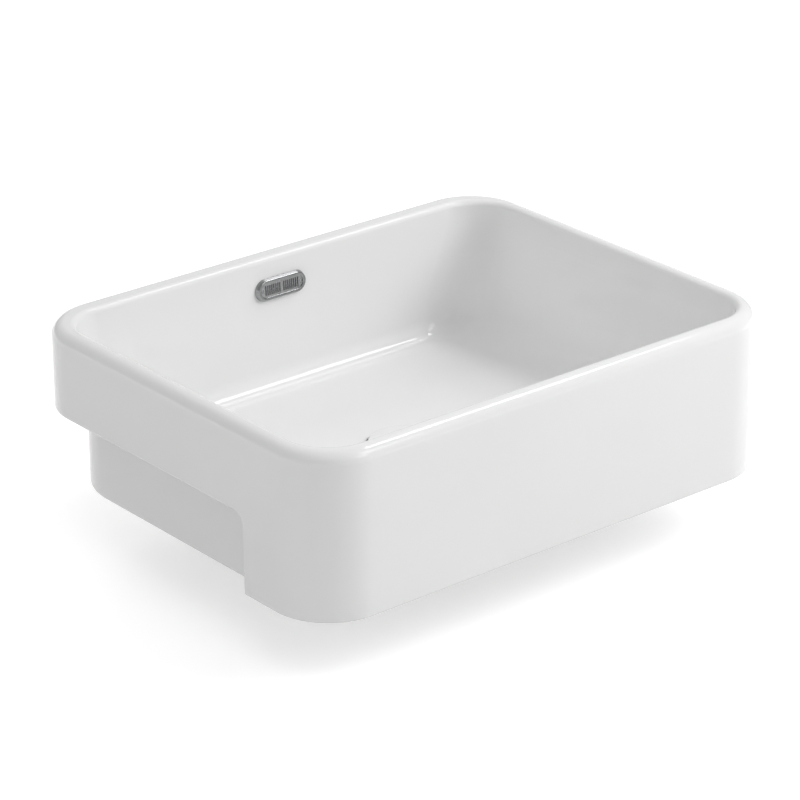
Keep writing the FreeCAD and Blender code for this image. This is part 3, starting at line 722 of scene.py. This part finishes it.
def ramp(tree, value, low, high):
    """Colour ramp between two colours over a noise's middle range."""
    node = tree.nodes.new("ShaderNodeValToRGB")
    for element, position, colour in zip(node.color_ramp.elements, NOISE_MIDDLE, (low, high)):
        element.position = position
        element.color = (*colour, 1)
    tree.links.new(value, node.inputs["Fac"])
    return node.outputs["Color"]


def spread(tree, value, low, high):
    """Maps a noise to a range of a shader's number."""
    node = tree.nodes.new("ShaderNodeMapRange")
    for name, number in zip(MAP_RANGE, (*NOISE_MIDDLE, low, high)):
        node.inputs[name].default_value = number
    tree.links.new(value, node.inputs["Value"])
    return node.outputs["Result"]


def bump(tree, shader, value, strength):
    node = tree.nodes.new("ShaderNodeBump")
    node.inputs["Strength"].default_value = strength
    node.inputs["Distance"].default_value = RELIEF_HEIGHT
    tree.links.new(value, node.inputs["Height"])
    tree.links.new(node.outputs["Normal"], shader.inputs["Normal"])


def glaze(name):
    """White glaze: a faint drift of tone and gloss."""
    material, tree, shader = tree_of(name)
    where = object_place(tree, (1, 1, 1))
    tone = ramp(tree, noise(tree, where, GLAZE_TONE_SCALE, GLAZE_DETAIL), *GLAZE_TONES)
    tree.links.new(tone, shader.inputs["Base Color"])
    gloss = spread(tree, noise(tree, where, GLAZE_GLOSS_SCALE, GLAZE_DETAIL), *GLAZE_ROUGHNESS)
    tree.links.new(gloss, shader.inputs["Roughness"])
    shader.inputs["IOR"].default_value = GLAZE_IOR
    return material


def grained(name, low, high, rough, scale, detail, stretch=(1, 1, 1), relief=0.0):
    """A material whose colour, gloss and relief follow one fine grain."""
    material, tree, shader = tree_of(name)
    grain = noise(tree, object_place(tree, stretch), scale, detail)
    tree.links.new(ramp(tree, grain, low, high), shader.inputs["Base Color"])
    tree.links.new(spread(tree, grain, *rough), shader.inputs["Roughness"])
    if relief:
        bump(tree, shader, grain, relief)
    return material, shader


def metal(name, low, high, rough, scale=60.0, stretch=(1, 1, 1), relief=0.0):
    material, shader = grained(name, low, high, rough, scale, METAL_DETAIL, stretch, relief)
    shader.inputs["Metallic"].default_value = 1.0
    return material


def plastic(name, low, high, rough):
    return grained(name, low, high, rough, PLASTIC_SCALE, PLASTIC_DETAIL, relief=PLASTIC_RELIEF)[0]


MATERIALS = {
    "glazed_ceramic_white": glaze("glaze_white"),
    "glazed_ceramic_cap": glaze("glaze_cap"),
    "chrome_trim": metal("chrome_polished", (0.36, 0.365, 0.37), (0.40, 0.405, 0.41), (0.05, 0.10)),
    "chrome_grille": metal(
        "chrome_satin", (0.44, 0.445, 0.45), (0.50, 0.505, 0.51), (0.18, 0.28), scale=400.0),
    "chrome_waste": metal("chrome_tube", (0.60, 0.605, 0.61), (0.64, 0.645, 0.65), (0.06, 0.14)),
    # Moulded grey parts: colour set near black, partly their own dark grey and partly painted shade, so
    # the overflow slots behind the trim read dark
    "moulded_grey": plastic("moulded_grey", (0.05, 0.052, 0.055), (0.07, 0.072, 0.075), (0.45, 0.6)),
    "moulded_white": plastic("moulded_white", (0.70, 0.70, 0.68), (0.75, 0.75, 0.73), (0.4, 0.55)),
    "rubber_black": plastic("rubber_black", (0.018, 0.018, 0.018), (0.03, 0.03, 0.03), (0.6, 0.8)),
    "brass_nut": metal(
        "brass_machined", (0.56, 0.40, 0.16), (0.63, 0.47, 0.22), (0.22, 0.36), scale=220.0,
        stretch=(1, 1, 8), relief=0.1),
    "brass_turned": metal(
        "brass_turned", (0.58, 0.42, 0.18), (0.65, 0.49, 0.24), (0.2, 0.34), scale=260.0,
        stretch=(1, 1, 14), relief=0.1),
    "steel_pin": metal(
        "steel_ground", (0.34, 0.34, 0.34), (0.42, 0.42, 0.42), (0.2, 0.35), scale=500.0),
    "spring_steel": metal(
        "spring_wire", (0.27, 0.28, 0.3), (0.34, 0.35, 0.37), (0.25, 0.4), scale=500.0),
}


def dress_frame():
    """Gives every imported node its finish."""
    for part in frame["record"]["subparts"]:
        mesh = frame["nodes"][part["node"]].data
        mesh.materials.clear()
        mesh.materials.append(MATERIALS[part["material_slot"]])


# Plug cap

CAP_RISE = 0.6
CAP_RADIUS = 32.0
CAP_EDGE_TOP = -41.8
CAP_UNDER = -46.6
CAP_EDGE = 2.0
CAP_UNDER_EDGE = 0.8
CAP_RECESS_RADIUS = 24.0
CAP_RECESS_TOP = CAP_UNDER + 1.2
CAP_AROUND = 128
CAP_DOME_STEPS = 12
CAP_EDGE_STEPS = 8
CAP_UNDER_STEPS = 4


def cap_mesh():
    """Slightly domed ceramic disc with a rounded edge and a shallow recess below."""
    build = Build()
    profile = []
    flat = CAP_RADIUS - CAP_EDGE
    for step in range(CAP_DOME_STEPS + 1):
        radius = flat * step / CAP_DOME_STEPS
        profile.append((radius, CAP_EDGE_TOP + CAP_RISE * (1 - (radius / flat) ** 2)))
    for turn in rounding(CAP_EDGE_STEPS)[1:]:
        profile.append((flat + CAP_EDGE * math.sin(turn), CAP_EDGE_TOP - CAP_EDGE * (1 - math.cos(turn))))
    for turn in rounding(CAP_UNDER_STEPS):
        profile.append((CAP_RADIUS - CAP_UNDER_EDGE * (1 - math.cos(turn)),
                        CAP_UNDER + CAP_UNDER_EDGE - CAP_UNDER_EDGE * math.sin(turn)))
    profile += [(CAP_RECESS_RADIUS, CAP_UNDER), (CAP_RECESS_RADIUS, CAP_RECESS_TOP), (0.0, CAP_RECESS_TOP)]
    build.grid(circle_rows(CAP_AROUND, *profile), closed=True)
    return build.mesh("plug_cap_glazed")


# Overflow trim: the outer and inner outline's length and height, then its section, as distances in
# from the outer outline and heights off the wall. The wall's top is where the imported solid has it.

TRIM_OUTER = (55.0, 20.5)
TRIM_INNER = (46.0, 12.4)
TRIM_SPAN = 4.05
TRIM_FOOT = 0.1
TRIM_FOOT_END = 0.3
TRIM_EDGE = 0.5
TRIM_SHOULDER = (1.0, 2.98)
TRIM_STEEP = math.radians(68.0)
TRIM_ROUNDING = 1.3
TRIM_LIP = 3.2
TRIM_LIP_DROP = 0.06
TRIM_LIP_ROUNDING = (0.85, 0.75)
TRIM_UNDER = 2.95
TRIM_UNDER_END = 3.0
TRIM_STEPS = 8
WALL_TOP_Y = 172.9
WALL_TOP_Z = 80.0
PILL_STEPS = 20


def pill_outline(length, height):
    """Closed outline with round ends, x along and y up."""
    radius = height / 2
    straight = (length - height) / 2
    points = []
    for side, start in ((1, -90.0), (-1, 90.0)):
        for step in range(PILL_STEPS + 1):
            angle = math.radians(start + 180.0 * step / PILL_STEPS)
            points.append((side * straight + radius * math.cos(angle), radius * math.sin(angle)))
    return np.array(points)


def on_back_wall(points):
    """Points given as x along, y up and z off the wall, set on the back wall."""
    lean = math.atan(END_SLOPE)
    wall_y = WALL_TOP_Y - (WALL_TOP_Z - OVERFLOW_Z) * END_SLOPE
    placed = []
    for x, y, off in points:
        placed.append((x, wall_y + y * math.sin(lean) - off * math.cos(lean),
                       OVERFLOW_Z + y * math.cos(lean) + off * math.sin(lean)))
    return placed


def bezel_profile():
    """Section of the trim: steep flank, rounded crest, gentle fall, rounded lip and hollow back."""
    across, height = TRIM_SHOULDER
    points = [(0.0, TRIM_FOOT), (0.0, TRIM_EDGE), TRIM_SHOULDER]
    for turn in rounding(TRIM_STEPS, 0.0, TRIM_STEEP)[1:]:
        angle = TRIM_STEEP - turn
        points.append((across + TRIM_ROUNDING * (math.sin(TRIM_STEEP) - math.sin(angle)),
                       height + TRIM_ROUNDING * (math.cos(angle) - math.cos(TRIM_STEEP))))
    lip_top = points[-1][1] - TRIM_LIP_DROP
    points.append((TRIM_LIP, lip_top))
    wide, high = TRIM_LIP_ROUNDING
    for turn in rounding(TRIM_STEPS)[1:]:
        points.append((TRIM_LIP + wide * math.sin(turn), lip_top - high * (1 - math.cos(turn))))
    points += [(TRIM_SPAN, TRIM_UNDER), (TRIM_UNDER_END, TRIM_UNDER), (TRIM_FOOT_END, TRIM_FOOT)]
    return points


def bezel_mesh():
    """Polished frame round the overflow, with steep outer flanks and a soft inner lip."""
    build = Build()
    outer = pill_outline(*TRIM_OUTER)
    inner = pill_outline(*TRIM_INNER)
    rows = []
    for inward, off in bezel_profile():
        flat = outer + (inner - outer) * (inward / TRIM_SPAN)
        rows.append(on_back_wall([(x, y, off) for x, y in flat]))
    rows.append(rows[0])
    build.grid(rows, closed=True)
    return build.mesh("overflow_bezel_polished")


# Waste and nut under the bowl. Each quarter of the tube's rows has a window's columns and a post's.

THROAT_RADIUS = 19.0
THROAT_TOP = -50.2
THROAT_BOTTOM = -56.5
FLANGE_TOP = -48.2
FLANGE_UNDER = -50.4
FLANGE_RADIUS = 33.0
TUBE_OUTER = 20.95
TUBE_BORE = 17.5
TUBE_END = -128.0
TUBE_CHAMFER = 1.0
FLANGE_PROFILE = (
    (THROAT_RADIUS, THROAT_TOP), (21.0, FLANGE_TOP), (32.0, FLANGE_TOP), (32.7, -48.5),
    (FLANGE_RADIUS, -49.2), (FLANGE_RADIUS, FLANGE_UNDER), (TUBE_OUTER, FLANGE_UNDER))
RELIEF_TOP = -95.0
RELIEF_RADIUS = 20.0
THREAD_TOP = -98.5
THREAD_DEPTH = 0.9
THREAD_PITCH = 2.1
THREAD_FLANK = 2.6
THREAD_FLAT = 0.2
THREAD_RUN_OUT = 1.5
ROWS_PER_PITCH = 6
WINDOW_HALF = 7.5
WINDOW_Z = (-64.5, -57.5)
WINDOWS = 4
WINDOW_PARTS = 8
POST_PARTS = 16
PARTS = WINDOW_PARTS + POST_PARTS
AROUND = WINDOWS * PARTS
CREASE = 30.0

BRIDGE_Z = (-104.0, -98.0)
HUB_RADIUS = 8.0
HUB_CHAMFER = 0.6
STUD_BORE = 4.2
ARMS = 3
ARM_HALF_WIDTH = 1.75
ARM_CHAMFER = 0.5
ARM_FLAT_SHARE = 0.7
ARM_SINK = (0.4, 0.3)

NUT_APOTHEM = 26.0
NUT_CORNER = 30.02
NUT_TOP = -77.5
NUT_COLLAR_END = -79.5
NUT_BOTTOM = -87.0
NUT_COLLAR_RADIUS = 29.0
NUT_COLLAR_CHAMFER = 0.4
NUT_BORE = 21.0
NUT_BORE_CHAMFER = 1.2
NUT_FACE_MARGIN = 0.2
NUT_TURNED_HEIGHT = 2.0
NUT_TURNED_STEPS = 4
NUT_AROUND = 240


def thread_rows(top, bottom):
    """Rows down a screw thread, whose groove climbs one pitch in a turn."""
    count = int((top - bottom) / THREAD_PITCH * ROWS_PER_PITCH)
    rows = []
    for k in range(count + 1):
        z = top - k * THREAD_PITCH / ROWS_PER_PITCH
        fade = max(min(1.0, (top - z) / THREAD_RUN_OUT, (z - bottom) / THREAD_RUN_OUT), 0.0)
        row = []
        for s in range(AROUND):
            phase = (z / THREAD_PITCH + s / AROUND) % 1.0
            groove = min(1.0, max(0.0, abs(phase - 0.5) * THREAD_FLANK - THREAD_FLAT))
            angle = 2 * math.pi * s / AROUND
            radius = TUBE_OUTER - THREAD_DEPTH * groove * fade
            row.append((radius * math.cos(angle), radius * math.sin(angle), z))
        rows.append(row)
    return rows


def window_row(radius, z):
    """A row round the tube, with the windows' edges among its points."""
    half = math.asin(WINDOW_HALF / radius)
    angles = []
    for window in range(WINDOWS):
        middle = window * QUARTER
        angles += [middle - half + 2 * half * step / WINDOW_PARTS for step in range(WINDOW_PARTS)]
        angles += [middle + half + (QUARTER - 2 * half) * step / POST_PARTS for step in range(POST_PARTS)]
    return [(radius * math.cos(angle), radius * math.sin(angle), z) for angle in angles]


def window_tube(build):
    """Outer and inner wall of the tube above its thread, with the reveals of its windows."""
    low, high = WINDOW_Z
    for radius, top in ((TUBE_OUTER, FLANGE_UNDER), (TUBE_BORE, THROAT_BOTTOM)):
        build.grid([window_row(radius, z) for z in (top, high, low, RELIEF_TOP)], closed=True,
                   skip=lambda row, column: row == 1 and column % PARTS < WINDOW_PARTS)
    for first in range(0, AROUND, PARTS):
        last = first + WINDOW_PARTS
        for z in (low, high):
            build.grid([window_row(radius, z)[first:last + 1] for radius in (TUBE_OUTER, TUBE_BORE)])
        for c in (first, last):
            build.face([window_row(TUBE_OUTER, low)[c], window_row(TUBE_OUTER, high)[c],
                        window_row(TUBE_BORE, high)[c], window_row(TUBE_BORE, low)[c]])


def waste_mesh():
    """Flanged tube with four overflow windows, a screw thread and a three-armed bridge."""
    build = Build()
    build.grid(circle_rows(AROUND, *FLANGE_PROFILE), closed=True)
    window_tube(build)
    outside = circle_rows(
        AROUND, (TUBE_OUTER, RELIEF_TOP), (RELIEF_RADIUS, RELIEF_TOP), (RELIEF_RADIUS, THREAD_TOP))
    outside += thread_rows(THREAD_TOP, TUBE_END + TUBE_CHAMFER)
    outside += circle_rows(
        AROUND, (TUBE_OUTER - TUBE_CHAMFER, TUBE_END), (TUBE_BORE, TUBE_END), (TUBE_BORE, RELIEF_TOP))
    build.grid(outside, closed=True)
    throat = ((TUBE_BORE, THROAT_BOTTOM), (THROAT_RADIUS, THROAT_BOTTOM), (THROAT_RADIUS, THROAT_TOP))
    build.grid(circle_rows(AROUND, *throat), closed=True)
    bridge(build)
    return build.mesh("waste_body_threaded", sharp=CREASE)


def bridge(build):
    """Hub and three arms across the tube, which carry the cartridge."""
    low, high = BRIDGE_Z
    hub = (
        (STUD_BORE, high), (HUB_RADIUS - HUB_CHAMFER, high), (HUB_RADIUS, high - HUB_CHAMFER),
        (HUB_RADIUS, low + HUB_CHAMFER), (HUB_RADIUS - HUB_CHAMFER, low), (STUD_BORE, low),
        (STUD_BORE, high))
    build.grid(circle_rows(AROUND, *hub), closed=True)
    flat = ARM_FLAT_SHARE
    section = (
        (-1.0, low + ARM_CHAMFER), (-flat, low), (flat, low), (1.0, low + ARM_CHAMFER),
        (1.0, high - ARM_CHAMFER), (flat, high), (-flat, high), (-1.0, high - ARM_CHAMFER))
    for index in range(ARMS):
        angle = QUARTER + index * 2 * math.pi / ARMS
        along = np.array((math.cos(angle), math.sin(angle), 0))
        across = np.array((-along[1], along[0], 0)) * ARM_HALF_WIDTH
        ends = []
        for distance in (HUB_RADIUS - ARM_SINK[0], TUBE_BORE + ARM_SINK[1]):
            ends.append([along * distance + across * side + np.array((0, 0, z)) for side, z in section])
        build.grid(ends, closed=True)
        build.face(ends[0])
        build.face(ends[1])


def hexagon_row(z, share):
    """A hexagon whose corners are turned off: 0 leaves the faces' middles only, 1 the full corners."""
    limit = NUT_APOTHEM + NUT_FACE_MARGIN + (NUT_CORNER - NUT_APOTHEM) * share
    row = []
    for s in range(NUT_AROUND):
        angle = 2 * math.pi * s / NUT_AROUND
        turn = (angle % (math.pi / 3)) - math.pi / 6
        radius = min(NUT_APOTHEM / math.cos(turn), limit)
        row.append((radius * math.cos(angle), radius * math.sin(angle), z))
    return row


def nut_mesh():
    """Hexagonal nut with a round collar, its corners turned off and its bore chamfered."""
    build = Build()
    shares = [step / NUT_TURNED_STEPS for step in range(NUT_TURNED_STEPS + 1)]
    rows = circle_rows(
        NUT_AROUND, (NUT_BORE, NUT_TOP), (NUT_COLLAR_RADIUS - NUT_COLLAR_CHAMFER, NUT_TOP),
        (NUT_COLLAR_RADIUS, NUT_TOP - NUT_COLLAR_CHAMFER), (NUT_COLLAR_RADIUS, NUT_COLLAR_END))
    rows += [hexagon_row(NUT_COLLAR_END - NUT_TURNED_HEIGHT * share, share) for share in shares]
    rows += [hexagon_row(NUT_BOTTOM + NUT_TURNED_HEIGHT * share, share) for share in reversed(shares)]
    rows += circle_rows(
        NUT_AROUND, (NUT_BORE + NUT_BORE_CHAMFER, NUT_BOTTOM),
        (NUT_BORE, NUT_BOTTOM + NUT_BORE_CHAMFER), (NUT_BORE, NUT_TOP))
    build.grid(rows, closed=True)
    return build.mesh("backnut_turned", sharp=CREASE)


# Stage, lights and camera, in metres. The floor's glow goes from one distance to another, from one
# strength to another. Each lamp has its direction, its size, its watts and the light it keeps to, if any.
# The camera's offset is to its right, up and back from the frame's origin.

FLOOR_REACH = 60.0
FLOOR_GAP = 0.0005
FLOOR_COLOUR = (0.8, 0.8, 0.8, 1)
FLOOR_GLOW = (0.6, 2.2, 0.5, 1.0)
WORLD_COLOUR = (1, 1, 1, 1)
WORLD_STRENGTH = 0.4
LAMP_DISTANCE = 2.6
FILL = 1.3
LAMPS = {
    "key": ((0.56, -0.17, 0.82), 0.62, 8.5),
    "front": ((0.23, -0.87, 0.44), 0.75, 5.0, "glossy"),
    "front_high": ((0.37, -0.64, 0.67), 0.75, 5.0, "glossy"),
    "fill_right": ((0.57, -0.55, 0.61), FILL, 31.0, "diffuse"),
    "fill_low": ((0.88, -0.30, 0.36), FILL, 4.0, "diffuse"),
    "fill_behind": ((0.50, 0.75, 0.43), FILL, 6.0, "diffuse"),
    "fill_back": ((0.0, 0.79, 0.62), FILL, 8.0, "diffuse"),
    "fill_left": ((-0.50, -0.65, 0.55), FILL, 3.0, "diffuse"),
    "fill_left_back": ((-0.85, 0.35, 0.40), FILL, 5.5, "diffuse"),
    "fill_top": ((-0.30, -0.36, 0.88), FILL, 9.0, "diffuse"),
}
AZIMUTH = math.radians(-39.557)
ELEVATION = math.radians(23.6215)
ROLL = math.radians(-0.190)
CAMERA_OFFSET = (-0.00434, -0.004605, 2.964589)
SENSOR_MM = 36.0
LENS_MM = 157.496
CLIP_END = 50.0


def floor_material():
    """White floor that keeps the object's shadow and glows more with distance."""
    material = bpy.data.materials.new("floor_white")
    material.use_nodes = True
    tree = material.node_tree
    tree.nodes.clear()
    out = tree.nodes.new("ShaderNodeOutputMaterial")
    diffuse = tree.nodes.new("ShaderNodeBsdfDiffuse")
    diffuse.inputs["Color"].default_value = FLOOR_COLOUR
    glow = tree.nodes.new("ShaderNodeEmission")
    add = tree.nodes.new("ShaderNodeAddShader")
    distance = tree.nodes.new("ShaderNodeVectorMath")
    distance.operation = "LENGTH"
    tree.links.new(object_place(tree, (1, 1, 1)), distance.inputs[0])
    further = tree.nodes.new("ShaderNodeMapRange")
    further.interpolation_type = "SMOOTHSTEP"
    for name, number in zip(MAP_RANGE, FLOOR_GLOW):
        further.inputs[name].default_value = number
    tree.links.new(distance.outputs["Value"], further.inputs["Value"])
    direct = join(tree, "MULTIPLY", further.outputs["Result"], seen_directly(tree))
    tree.links.new(direct, glow.inputs["Strength"])
    tree.links.new(diffuse.outputs[0], add.inputs[0])
    tree.links.new(glow.outputs[0], add.inputs[1])
    tree.links.new(add.outputs[0], out.inputs["Surface"])
    return material


def stage():
    mesh = bpy.data.meshes.new("floor")
    low = cad_box[0][2] - FLOOR_GAP
    corners = [(x * FLOOR_REACH, y * FLOOR_REACH, low) for x, y in ((-1, -1), (1, -1), (1, 1), (-1, 1))]
    mesh.from_pydata(corners, [], [(0, 1, 2, 3)])
    floor = bpy.data.objects.new("floor", mesh)
    bpy.context.scene.collection.objects.link(floor)
    mesh.materials.append(floor_material())


def join(tree, operation, first, second):
    """A number made of two others."""
    node = tree.nodes.new("ShaderNodeMath")
    node.operation = operation
    tree.links.new(first, node.inputs[0])
    tree.links.new(second, node.inputs[1])
    return node.outputs[0]


def seen_directly(tree):
    """1 for camera, glossy and transmission rays, and 0 for the rest."""
    path = tree.nodes.new("ShaderNodeLightPath").outputs
    first = join(tree, "MAXIMUM", path["Is Camera Ray"], path["Is Glossy Ray"])
    return join(tree, "MAXIMUM", first, path["Is Transmission Ray"])


def world():
    made = bpy.data.worlds.new("studio")
    bpy.context.scene.world = made
    made.use_nodes = True
    back = made.node_tree.nodes["Background"]
    back.inputs["Color"].default_value = WORLD_COLOUR
    back.inputs["Strength"].default_value = WORLD_STRENGTH


def softbox(name, direction, size, power, seen="all"):
    """Square lamp that faces the frame's origin; seen may keep it to diffuse or to glossy light."""
    lamp = bpy.data.lights.new(name, "AREA")
    lamp.shape = "RECTANGLE"
    lamp.size = lamp.size_y = size
    lamp.energy = power
    made = bpy.data.objects.new(name, lamp)
    bpy.context.scene.collection.objects.link(made)
    toward = Vector(direction).normalized()
    made.location = toward * LAMP_DISTANCE
    made.rotation_euler = toward.to_track_quat("Z", "Y").to_euler()
    made.visible_glossy = seen != "diffuse"
    made.visible_diffuse = seen != "glossy"


def camera():
    """Camera fitted to the photograph's outline: it looks along azimuth and elevation, with a roll."""
    back = Vector((math.sin(AZIMUTH) * math.cos(ELEVATION),
                   -math.cos(AZIMUTH) * math.cos(ELEVATION), math.sin(ELEVATION)))
    level = Vector((math.cos(AZIMUTH), math.sin(AZIMUTH), 0))
    rise = back.cross(level)
    right = level * math.cos(ROLL) + rise * math.sin(ROLL)
    up = rise * math.cos(ROLL) - level * math.sin(ROLL)
    place = right * CAMERA_OFFSET[0] + up * CAMERA_OFFSET[1] + back * CAMERA_OFFSET[2]
    data = bpy.data.cameras.new("camera")
    data.sensor_width = SENSOR_MM
    data.lens = LENS_MM
    data.clip_end = CLIP_END
    made = bpy.data.objects.new("camera", data)
    bpy.context.scene.collection.objects.link(made)
    made.matrix_world = Matrix((
        (right.x, up.x, back.x, place.x), (right.y, up.y, back.y, place.y),
        (right.z, up.z, back.z, place.z), (0, 0, 0, 1)))
    bpy.context.scene.camera = made


dress_frame()
piece("basin_body_glazed", basin_mesh(), "basin", "glazed_ceramic_white", "basin_body")
piece("plug_cap_glazed", cap_mesh(), "plug", "glazed_ceramic_cap", "plug_cap")
piece("overflow_bezel_polished", bezel_mesh(), "basin", "chrome_trim", "overflow_bezel")
piece("waste_body_threaded", waste_mesh(), "basin", "chrome_waste", "waste_body")
piece("backnut_turned", nut_mesh(), "basin", "brass_nut", "backnut")
stage()
world()
for lamp_name, lamp in LAMPS.items():
    softbox(lamp_name, *lamp)
camera()
bpy.context.scene.view_settings.view_transform = "Standard"
